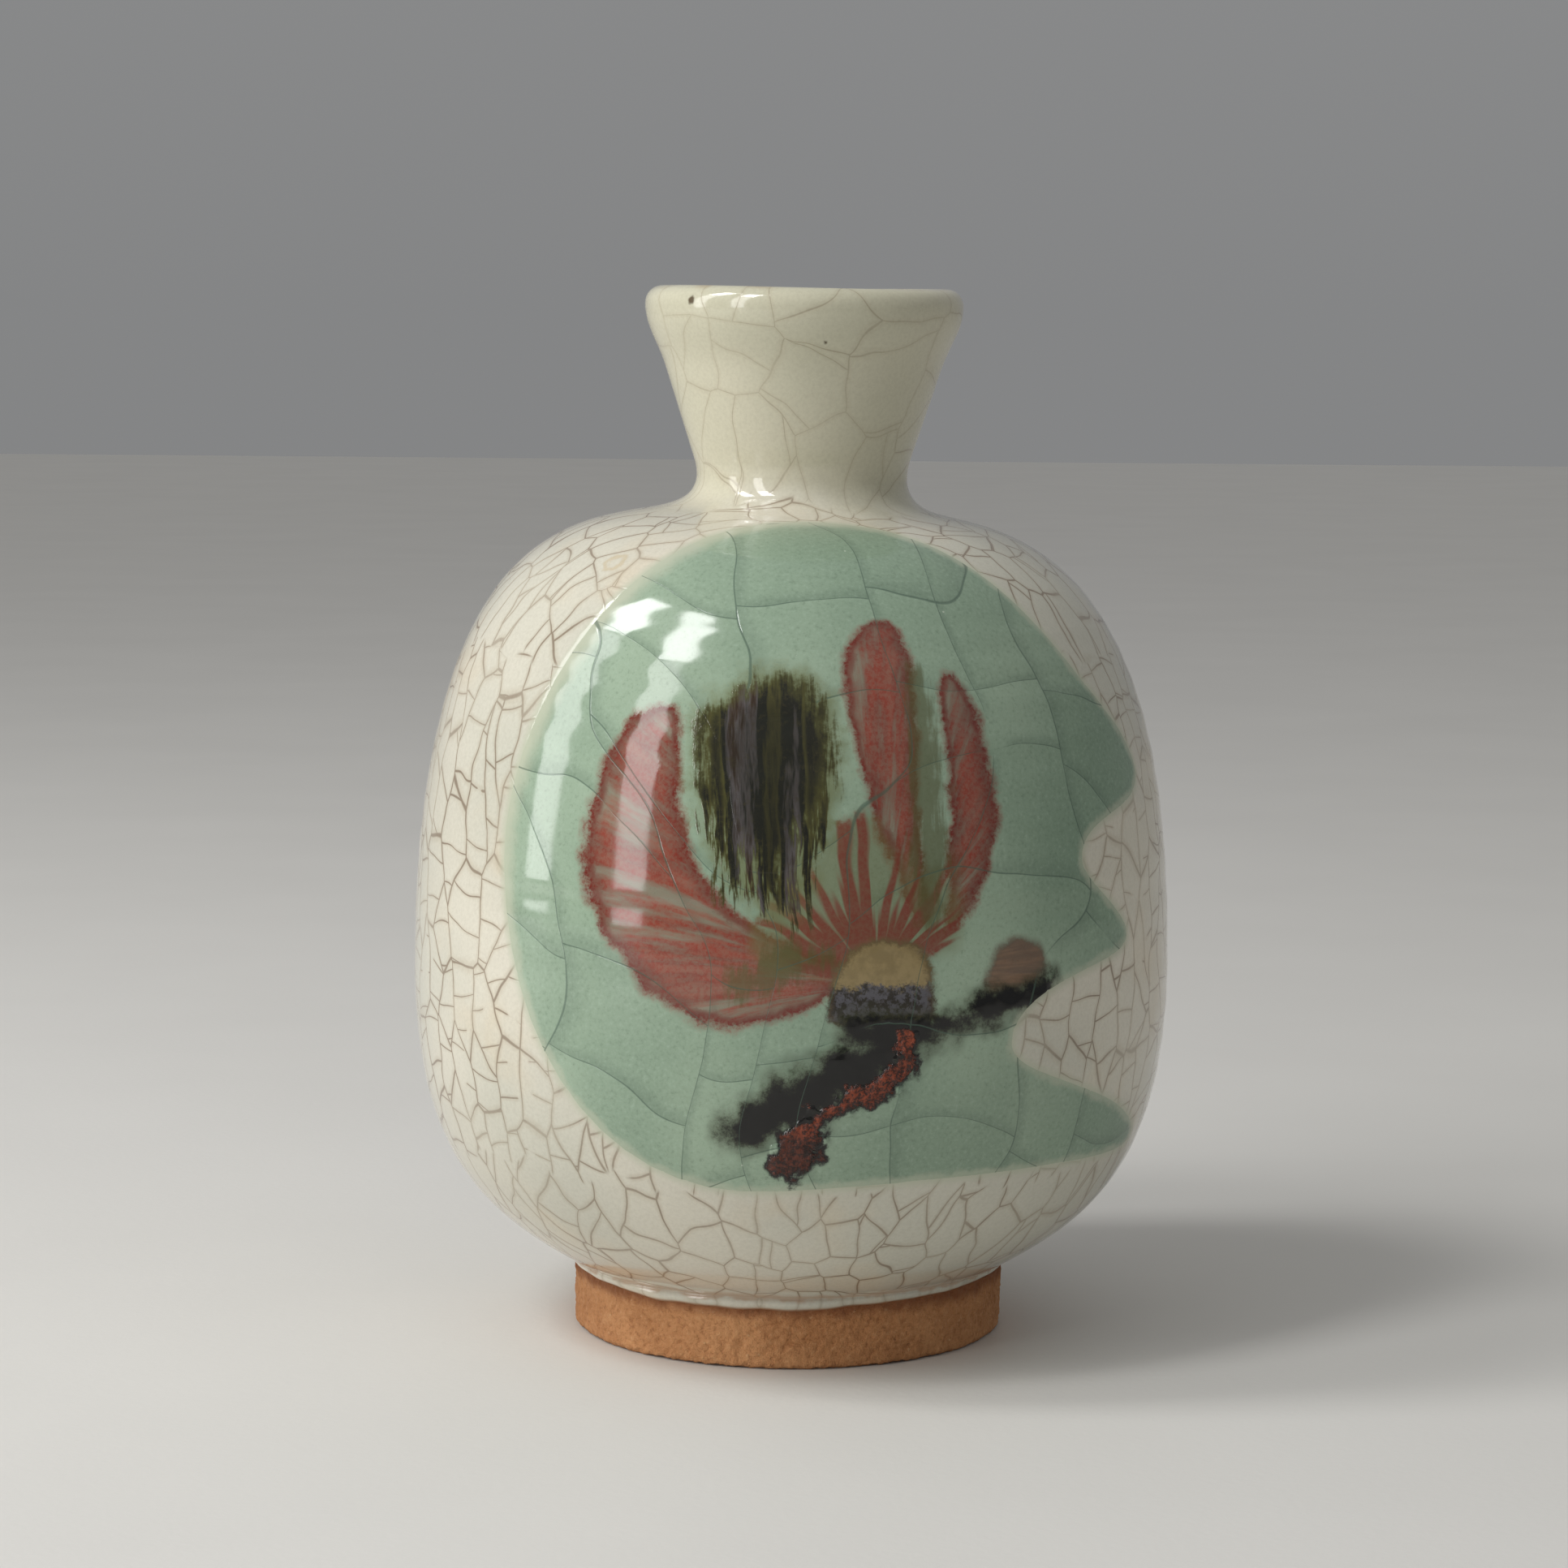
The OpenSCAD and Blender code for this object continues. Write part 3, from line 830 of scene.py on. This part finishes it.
def red_petals(n, p, colour, fuzz, fibre, broad):
    """Copper red brushed out from the calyx, deepest along the petals' rims."""
    depth = n.field("petals") + fuzz * 0.55 + n.split(n.wander(p, 7))[0] * 2.4
    body = n.ramp(depth, -0.8, 0.35)
    rim = body * n.ramp(depth, 0.5, 2.4, 1, 0)
    wash = n.ramp(broad * 0.65 + fibre * 0.35, 0.38, 0.54, 0.5, 1.0)
    speckle = n.ramp(n.noise(p, 0.5, 2, 0.7), 0.3, 0.7, 0.82, 1.0)
    red = n.mix(n.ramp(fibre, 0.35, 0.65), srgb(118, 40, 30), srgb(140, 60, 45))
    red = n.mix(n.ramp(broad, 0.50, 0.66) * 0.55, red, srgb(142, 98, 82))
    red = n.mix(rim * 0.7, red, srgb(98, 30, 21))
    colour = n.mix(body * n.most(wash, rim) * speckle, colour, red)
    comb = n.field("comb") + fuzz * 0.9 + n.split(n.wander(p, 6))[1] * 5
    base = n.ramp(n.field("stroke_run"), 14, 5, 0, 0.2)
    swayed = n.field("stroke_turn") + n.split(n.wander(p, 9))[0] * 3.0
    tooth = n.noise(n.combined(swayed, n.field("stroke_run") * 0.06, 0.0), 2.3, 1)
    teeth = n.ramp(tooth + base, 0.5, 0.62) * n.ramp(comb, -0.6, 1.4)
    colour = n.mix(n.ramp(comb, -1.0, 2.0, 0, 0.55), colour, srgb(104, 104, 64))
    return n.mix(teeth * speckle * 0.9, colour, srgb(118, 45, 33))


def iron_heart(n, p, colour, fuzz):
    """Iron and olive pulled down in upright streaks that end in ragged points."""
    x, y = n.field("paint_x"), n.field("paint_y")
    across = x + n.split(n.wander(p, 12))[0] * 2.2
    hair = n.noise(n.combined(across, y * 0.12, 4.0), 0.9, 3, 0.65)
    band = n.noise(n.combined(across, y * 0.05, 9.0), 3.3, 1)
    ragged = n.ramp(hair, 0.3, 0.7, -1, 1) * n.ramp(y, 2, -18, 0.9, 3.4)
    depth = n.field("heart") + ragged + fuzz * 0.9
    iron = n.banded(band * 0.8 + hair * 0.2,
                    (0.28, srgb(10, 8, 5)), (0.40, srgb(24, 20, 10)), (0.45, srgb(64, 60, 26)),
                    (0.49, srgb(14, 11, 7)), (0.55, srgb(20, 16, 12)), (0.58, srgb(88, 82, 84)),
                    (0.61, srgb(56, 36, 26)), (0.67, srgb(14, 10, 7)), (0.78, srgb(76, 72, 32)))
    iron = n.mix(n.ramp(n.noise(p, 0.7, 3, 0.7), 0.5, 0.75, 0, 0.5), iron, srgb(70, 62, 34))
    iron = n.mix(n.ramp(depth, 2.6, 0.4, 0, 0.75), iron, srgb(78, 76, 34))
    halo = n.ramp(n.field("heart") + fuzz * 1.4, -2.4, 1.0, 0, 0.7)
    colour = n.mix(halo, colour, srgb(104, 108, 66))
    iron = n.darken(n.ramp(depth, 1.5, 5.0, 0, 0.6), iron, srgb(120, 112, 100))
    body = n.ramp(depth, -0.5, 1.3, 0, 0.96)
    colour = n.mix(body, colour, iron)
    sepal = n.field("sepal") + fuzz * 0.9 + n.ramp(hair, 0.3, 0.7, -0.8, 0.8)
    return n.mix(n.ramp(sepal, -0.6, 1.5, 0, 0.7), colour, srgb(82, 82, 44)), body


def branch_and_calyx(n, p, colour, fuzz, fibre):
    """The slip calyx with its blue-grey foot, the brown bud, the black branch and its rust."""
    bud = n.field("bud") + fuzz * 0.5
    bud_brown = n.mix(n.ramp(fibre, 0.35, 0.65), srgb(124, 82, 58), srgb(96, 58, 42))
    bud_brown = n.mix(n.ramp(bud, 1.0, 0.1, 0, 0.6), bud_brown, srgb(66, 44, 28))
    colour = n.mix(n.ramp(bud, -0.7, 0.7, 0, 0.85), colour, bud_brown)
    calyx = n.field("calyx") + fuzz * 0.8
    slip = n.mix(n.ramp(n.noise(p, 2.4, 4, 0.65), 0.4, 0.65), srgb(146, 128, 88), srgb(130, 113, 76))
    foot = n.field("paint_y") + fuzz * 1.3
    speckled = n.mix(n.ramp(n.noise(p, 0.8, 3, 0.7), 0.42, 0.58), srgb(26, 24, 25), srgb(80, 80, 88))
    slip = n.mix(n.ramp(foot, -26.9, -27.8, 0, 0.95), slip, speckled)
    slip = n.mix(n.ramp(calyx, 1.1, 0.1, 0, 0.7), slip, srgb(74, 60, 36))
    colour = n.mix(n.ramp(calyx, -0.7, 0.4), colour, slip)
    ragged = n.split(n.wander(p, 5, 2))[0]
    branch = n.field("branch") + fuzz * 0.9 + ragged * 5
    colour = n.mix(n.ramp(branch, -2.0, 0.9, 0, 0.9), colour, srgb(48, 50, 24))
    colour = n.mix(n.ramp(branch, -0.4, 1.0), colour, srgb(7, 6, 4))
    jagged = n.split(n.wander(p, 3.2, 2))[2] * 6
    crest = n.field("crest") + fuzz * 0.7 + jagged - 0.35
    boiled = n.noise(p, 0.55, 3, 0.75)
    crust = n.mix(n.ramp(boiled, 0.38, 0.62), srgb(48, 22, 14), srgb(138, 62, 34))
    low_end = n.ramp(n.field("paint_y") + ragged * 4, -42.0, -44.5)
    crust = n.mix(low_end * 0.6, crust, srgb(30, 16, 10))
    colour = n.mix(n.ramp(crest, -1.0, -0.2), colour, srgb(14, 10, 7))
    on_crest = n.ramp(crest, -0.2, 0.4)
    return n.mix(on_crest, colour, crust), on_crest, boiled


def painted(name):
    """Celadon with the brushed blossom and branch in it. Every painted piece wears it."""
    n = Nodes(name)
    p = n.place()
    colour, lines, relief = celadon_colour(n, p)
    stroke = n.combined(n.field("stroke_turn"), n.field("stroke_run") * 0.10, 0.0)
    fibre = n.noise(n.vector("ADD", stroke, (3, 1, 0)), 0.8, 3, 0.6)
    broad = n.noise(stroke, 3.4, 2)
    fuzz = (n.ramp(n.noise(p, 0.5, 2, 0.8), 0.25, 0.75, -0.35, 0.35)
            + n.ramp(n.noise(p, 2.4, 2), 0.25, 0.75, -0.6, 0.6))
    colour = red_petals(n, p, colour, fuzz, fibre, broad)
    colour, on_heart = iron_heart(n, p, colour, fuzz)
    colour, on_crest, boiled = branch_and_calyx(n, p, colour, fuzz, fibre)
    covered = n.most(on_crest, on_heart * 0.8)
    colour = n.mix(lines * n.ramp(covered, 0, 0.8, 0.62, 0), colour, CRACK_TEAL)
    rough = n.patchy(p, 9, 0.05, 0.11) + on_crest * 0.45
    pitted = on_heart * n.noise(p, 0.7, 3, 0.7) * 0.03
    relief = relief + pitted + on_crest * boiled * 0.22
    return n.finish(colour, relief, Roughness=rough, IOR=1.5)


def bare_clay(name, flash=False):
    """Gritty orange-tan stoneware, flashed darker just under the glaze."""
    n = Nodes(name)
    p = n.place()
    height = n.split(p)[2]
    colour = n.mix(n.ramp(n.noise(p, 11, 3), 0.35, 0.65), srgb(208, 150, 100), srgb(188, 130, 82))
    sand = n.noise(p, 0.7, 4, 0.8)
    colour = n.mix(n.ramp(sand, 0.52, 0.70, 0.0, 0.45), colour, srgb(226, 176, 126))
    colour = n.darken(n.ramp(sand, 0.50, 0.34, 0.0, 0.38), colour, srgb(152, 106, 72))
    dark = n.dots(n.warped(p, 1.0, 0.3), 2.1, 0.24, 0.22)
    pale = n.dots(n.warped(n.vector("ADD", p, (9, 4, 2)), 1.0, 0.3), 1.3, 0.22, 0.25)
    colour = n.mix(dark * 0.42, colour, srgb(110, 68, 42))
    colour = n.mix(pale * 0.35, colour, srgb(236, 196, 150))
    if flash:
        edge = n.ramp(height + n.noise(p, 3, 2) * 1.8, FOOT_H - 1.6, FOOT_H + 0.2)
        colour = n.mix(edge * 0.8, colour, srgb(124, 68, 34))
        low = n.ramp(height + n.noise(p, 2, 2) * 0.8, 1.3, 0.3)
        colour = n.mix(low * 0.35, colour, srgb(150, 98, 60))
    relief = sand * 0.46 + n.noise(p, 0.25, 2) * 0.08 + dark * -0.13 + pale * 0.06
    return n.finish(colour, relief, Roughness=n.ramp(sand, 0.3, 0.7, 0.95, 0.75))


# ---- the pieces


COAT, LINING, FILM = 0.5, 0.35, 0.12      # how far each kind of skin reaches into the pot
UNDER_COAT, UNDER_LINING = 0.62, 0.5      # how deep the clay's faces lie below the glazes'
FOOT_WIDTH, LAND_WIDTH = 5.6, 3.7         # of the foot ring, under the belly and at the table
AROUND, AROUND_NECK = np.arange(300) * 1.2, np.arange(240) * 1.5


def dress(piece, material, node):
    """Gives a piece its material and its body, and hides the CAD node that it stands for."""
    piece.data.materials.append(material)
    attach(piece, "root")
    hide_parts(node)


def run_rows(start, end, step):
    """Evenly spaced runs with both ends, at most step mm apart."""
    return np.linspace(start, end, int((end - start) / step) + 2)


def polar_grid(runs, azimuths):
    """The azimuth and the run of each point of a grid over the pot."""
    run, azimuth = np.meshgrid(runs, azimuths, indexing="ij")
    return azimuth, run


def make_belly_glaze():
    """The belly's white coat, with a low ridge where it meets the celadon and dips under it."""
    bead_rows = np.linspace(-BEAD_RUN, 0, 10)[:-1]
    rows = np.concatenate([bead_rows, run_rows(0, 4, 0.4)[:-1], run_rows(4, RUN_SPLIT, 1.0)])
    azimuth, run = polar_grid(rows, AROUND)
    depth = window_depth(surface(azimuth, run))
    ridge = 0.05 * np.exp(-((depth + 0.9) / 0.7) ** 2)
    dip = 0.06 * smooth(depth, -0.05, 0.3)
    points = surface(azimuth, run, ridge - dip)
    piece = grid_object("belly_glaze", points, {"run": run, "window": depth}, 0.5 - depth)
    thickened(piece, COAT)
    dress(piece, white_glaze("belly_white", on_belly=True), "belly_glaze")


def window_grid(step, u=(-40, 41), v=(-51, 33)):
    """A fine grid over the part of the belly that lies behind a box of the window's plane."""
    azimuth, run = polar_grid(run_rows(8, RUN_SHOULDER + 1, step),
                              np.arange(-58, 92, math.degrees(step / 45)))
    flat, front = on_window_plane(surface(azimuth, run))
    near = (front > 0) & (flat[..., 0] > u[0]) & (flat[..., 0] < u[1])
    near &= (flat[..., 1] > v[0]) & (flat[..., 1] < v[1])
    i, j = np.where(near.any(1))[0], np.where(near.any(0))[0]
    part = (slice(i[0], i[-1] + 1), slice(j[0], j[-1] + 1))
    return azimuth[part], run[part]


def make_celadon():
    """The celadon that fills the window."""
    azimuth, run = window_grid(0.5)
    p = surface(azimuth, run)
    depth = window_depth(p)
    fields = {"run": run, "window": depth, **painting(p)}
    piece = grid_object("celadon_window", p, fields, depth, wrap=False)
    thickened(piece, COAT)
    dress(piece, painted("celadon_painted"), "celadon_window")


def make_brushed(name, shape, box, step, height, rise, reach, rough=0.0, grain=0.6):
    """A brushed layer over one painted shape.

    It starts reach mm outside the shape, just below the celadon, and is height mm thick from
    rise mm inside it. rough mm of lumps, about grain mm apart, stand on that."""
    azimuth, run = window_grid(step, *box)
    p = surface(azimuth, run)
    window, fields = window_depth(p), painting(p)
    inside = fields[shape]
    ragged = inside + 0.4 * (0.6 * waves(p, 1.3, 21) + waves(p, 3.6, 22))
    lumps = waves(p, grain, 23, 60) + waves(p, grain * 1.9, 24, 60)
    lift = -0.014 + 0.02 * smooth(inside, -reach, 1.6 - reach) + height * smooth(ragged, 0.6 - reach, rise)
    lift = lift + rough * smooth(ragged, -0.2, 0.8) * lumps
    fields.update(run=run, window=window)
    piece = grid_object(name, surface(azimuth, run, lift), fields,
                        np.minimum(inside + reach, window - 0.3), wrap=False)
    thickened(piece, FILM)
    dress(piece, painted(name + "_look"), name)


def make_plain_coat(node, rows, thickness):
    """White glaze on the neck or the inside."""
    azimuth, run = polar_grid(rows, AROUND_NECK)
    piece = grid_object(node, surface(azimuth, run), {"run": run})
    thickened(piece, thickness)
    dress(piece, white_glaze(node + "_white"), node)


def below(start, end, depth, step=1.5):
    """[radius, height] along a stretch of the profile, at a depth under its surface."""
    run = run_rows(start, end, step)
    return np.stack([np.interp(run, RUN, LINE[:, k]) - depth * np.interp(run, RUN, OUT[:, k])
                     for k in (0, 1)], 1)


def make_belly():
    """The belly's fired clay. Only its base shows, inside the foot ring, with its trimming rings."""
    base_r, base_z = FOOT_R - FOOT_WIDTH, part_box("belly")[0].z / MM
    rings_r = np.linspace(0, base_r - 0.3, 60)
    trimming = 0.16 * np.cos(rings_r * math.tau / 3.1) * smooth(rings_r, 1, 4)
    underside = np.stack([rings_r, base_z + 0.3 + trimming - 0.25 * smooth(rings_r, 18, 21)], 1)
    over_foot = [[base_r, base_z + 0.5], [base_r, FOOT_H + 0.1], [FOOT_R - 0.5, FOOT_H + 0.1]]
    outside = below(3, RUN_SPLIT, UNDER_COAT)
    inside = below(RUN_CAVITY + 1.5, RUN[-1] - 0.5, UNDER_LINING)
    hole = [[inside[0, 0], outside[-1, 1] - 0.3]]
    line = np.vstack([underside, over_foot, outside, hole, inside, [[0, inside[-1, 1]]]])
    dress(turned_solid("belly", line, 180, upright), bare_clay("belly_clay"), "belly")


def make_neck():
    """The neck's fired clay, hidden between its coats."""
    loop = np.vstack([below(RUN_SPLIT + 0.3, RUN_TOP, UNDER_COAT, 1.0),
                      below(RUN_TOP, RUN_THROAT, UNDER_LINING, 1.0)[1:]])
    dress(turned_ring("neck", loop, 160, leaning), bare_clay("neck_clay"), "neck")


def rounded_edge(x, radius, way, steps):
    """[x, height] on a quarter circle from the table up to x, turning out (way 1) or in (-1)."""
    a = np.linspace(0, math.pi / 2, steps)
    return np.stack([x + way * radius * (np.sin(a) - 1), radius * (1 - np.cos(a))], 1)


def make_foot():
    """The bare foot ring: gritty, pitted, with a softened rest edge."""
    inner_top, inner_low = FOOT_R - FOOT_WIDTH, FOOT_R - LAND_WIDTH
    outer_edge = rounded_edge(FOOT_R - 0.2, 0.8, 1, 6)
    inner_edge = rounded_edge(inner_low, 0.5, -1, 5)
    top = [[FOOT_R - 0.05, FOOT_H - 0.2], [FOOT_R - 0.5, FOOT_H + 0.05], [inner_top, FOOT_H + 0.05]]
    loop = subdivided(np.vstack([outer_edge, top, inner_edge[::-1], outer_edge[:1]]), 0.24)[:-1]
    # Pits as azimuth, height, width and depth: four large ones at the front and many small ones
    pits = [(-12, 2.9, 0.42, 0.5), (-27, 4.7, 0.3, 0.3), (-41, 5.6, 0.3, 0.25), (8, 3.6, 0.3, 0.2)]
    for _ in range(260):
        pits.append((rng.uniform(-180, 180), rng.uniform(0.8, 7.8),
                     rng.uniform(0.16, 0.34), rng.uniform(0.08, 0.3)))

    def gritty(azimuth, places):
        r, z = places[..., 0], places[..., 1]
        p = turned(azimuth, r, z)
        grit = 0.065 * waves(p, 1.0, 31, 60) + 0.055 * waves(p, 2.0, 32, 50) + 0.035 * waves(p, 0.7, 35, 50)
        grit = np.clip(grit, -0.24, 0.15) - 0.06 * (1 + waves(p, 9, 33)) - 0.05
        for pit_azimuth, pit_z, width, depth in pits:
            away = p - turned(pit_azimuth, FOOT_R, pit_z)
            grit -= depth * np.exp(-(away**2).sum(-1) / width**2)
        outwards = np.where(r > (FOOT_R + inner_low) / 2, 1, -1) * smooth(z, -0.2, 0.6)
        lifted = np.maximum(z - np.minimum(grit, 0) * (1 - smooth(z, 0, 0.5)), 0)
        return turned(azimuth, r + grit * outwards, lifted)
    piece = turned_ring("foot_ring", loop, 680, gritty)
    dress(piece, bare_clay("foot_clay", flash=True), "foot_ring")


make_foot()
make_belly()
make_neck()
make_belly_glaze()
make_celadon()
make_plain_coat("neck_glaze", run_rows(RUN_SPLIT, RUN_MOUTH, 0.45), COAT)
lining_rows = [run_rows(RUN_MOUTH, RUN_CAVITY, 0.6)[:-1], run_rows(RUN_CAVITY, RUN[-1] - 0.4, 1.4)]
make_plain_coat("inner_glaze", np.concatenate(lining_rows), LINING)
make_brushed("blossom_petals", "petals", ((-33, 20), (-34, 18)),
             step=0.5, height=0.02, rise=1.0, reach=1.2)
make_brushed("blossom_heart", "heart", ((-21, 4), (-23, 13)),
             step=0.4, height=0.07, rise=1.5, reach=2.4, rough=0.012, grain=1.2)
make_brushed("calyx", "calyx", ((-4, 13), (-34, -20)),
             step=0.35, height=0.09, rise=0.8, reach=1.0)
make_brushed("branch", "branch", ((-18, 28), (-47, -22)),
             step=0.35, height=0.26, rise=1.4, reach=2.0, rough=0.02, grain=1.6)
make_brushed("branch_rust", "crest", ((-12, 12), (-51, -28)),
             step=0.22, height=0.36, rise=0.5, reach=0.5, rough=0.09, grain=0.8)

# ---- stage, light and camera


def make_floor():
    points = np.array([[-3000, -3000, 0], [3000, -3000, 0], [3000, 3000, 0], [-3000, 3000, 0]], float)
    floor = mesh_object("floor", points, [[0, 1, 2, 3]])
    n = Nodes("pale_floor")
    p = n.place()
    colour = n.mix(n.noise(p, 60, 3), srgb(222, 220, 215), srgb(214, 212, 207))
    floor.data.materials.append(n.finish(colour, n.noise(p, 1.2, 2) * 0.03, Roughness=0.6))


def softbox(name, azimuth, elevation, distance, width, height, radiance):
    """A rectangular light that faces the belly's middle."""
    light = bpy.data.lights.new(name, "AREA")
    light.shape, light.size, light.size_y = "RECTANGLE", width, height
    light.energy = radiance * math.pi * width * height
    lamp = bpy.data.objects.new(name, light)
    turn, up = math.radians(azimuth), math.radians(elevation)
    way = Vector((math.sin(turn) * math.cos(up), -math.cos(turn) * math.cos(up), math.sin(up)))
    lamp.location = Vector((0, 0, 0.065)) + way * distance
    lamp.rotation_euler = way.to_track_quat("Z", "Y").to_euler()
    bpy.context.scene.collection.objects.link(lamp)


def make_light():
    """Two tall window-like softboxes on the left, bright at their tops, and weak light all round."""
    for side, azimuth in (("near", -48), ("far", -80)):
        softbox("tall_" + side, azimuth, 20, 0.9, 0.16, 0.72, 5.8)
        softbox("bright_" + side, azimuth, 51, 0.9, 0.16, 0.26, 15)
    world = bpy.data.worlds.new("studio")
    world.use_nodes = True
    tree = world.node_tree
    background, sky = tree.nodes["Background"], tree.nodes.new("ShaderNodeTexCoord")
    split, ramp = tree.nodes.new("ShaderNodeSeparateXYZ"), tree.nodes.new("ShaderNodeValToRGB")
    tree.links.new(sky.outputs["Generated"], split.inputs[0])
    tree.links.new(split.outputs["Z"], ramp.inputs["Fac"])
    tree.links.new(ramp.outputs["Color"], background.inputs["Color"])
    for element, colour in zip(ramp.color_ramp.elements, (srgb(196, 197, 198), srgb(255, 255, 255))):
        element.color = colour
    background.inputs["Strength"].default_value = 0.42
    bpy.context.scene.world = world


def make_camera():
    """The camera stands where the picture was taken: just below the lip's height, looking down."""
    lens, distance, height = 95.3, 516.5, 127.3
    pitch, roll, offset = -6.533, 0.47, -1.0
    data = bpy.data.cameras.new("camera")
    data.lens, data.sensor_width = lens, 36
    data.clip_start, data.clip_end = 0.01, 20
    camera = bpy.data.objects.new("camera", data)
    turn = Matrix.Rotation(math.radians(90 + pitch), 4, "X") @ Matrix.Rotation(math.radians(roll), 4, "Z")
    camera.matrix_world = Matrix.Translation(Vector((offset, -distance, height)) * MM) @ turn
    bpy.context.scene.collection.objects.link(camera)
    bpy.context.scene.camera = camera


make_floor()
make_light()
make_camera()
bpy.context.scene.view_settings.view_transform = "Standard"
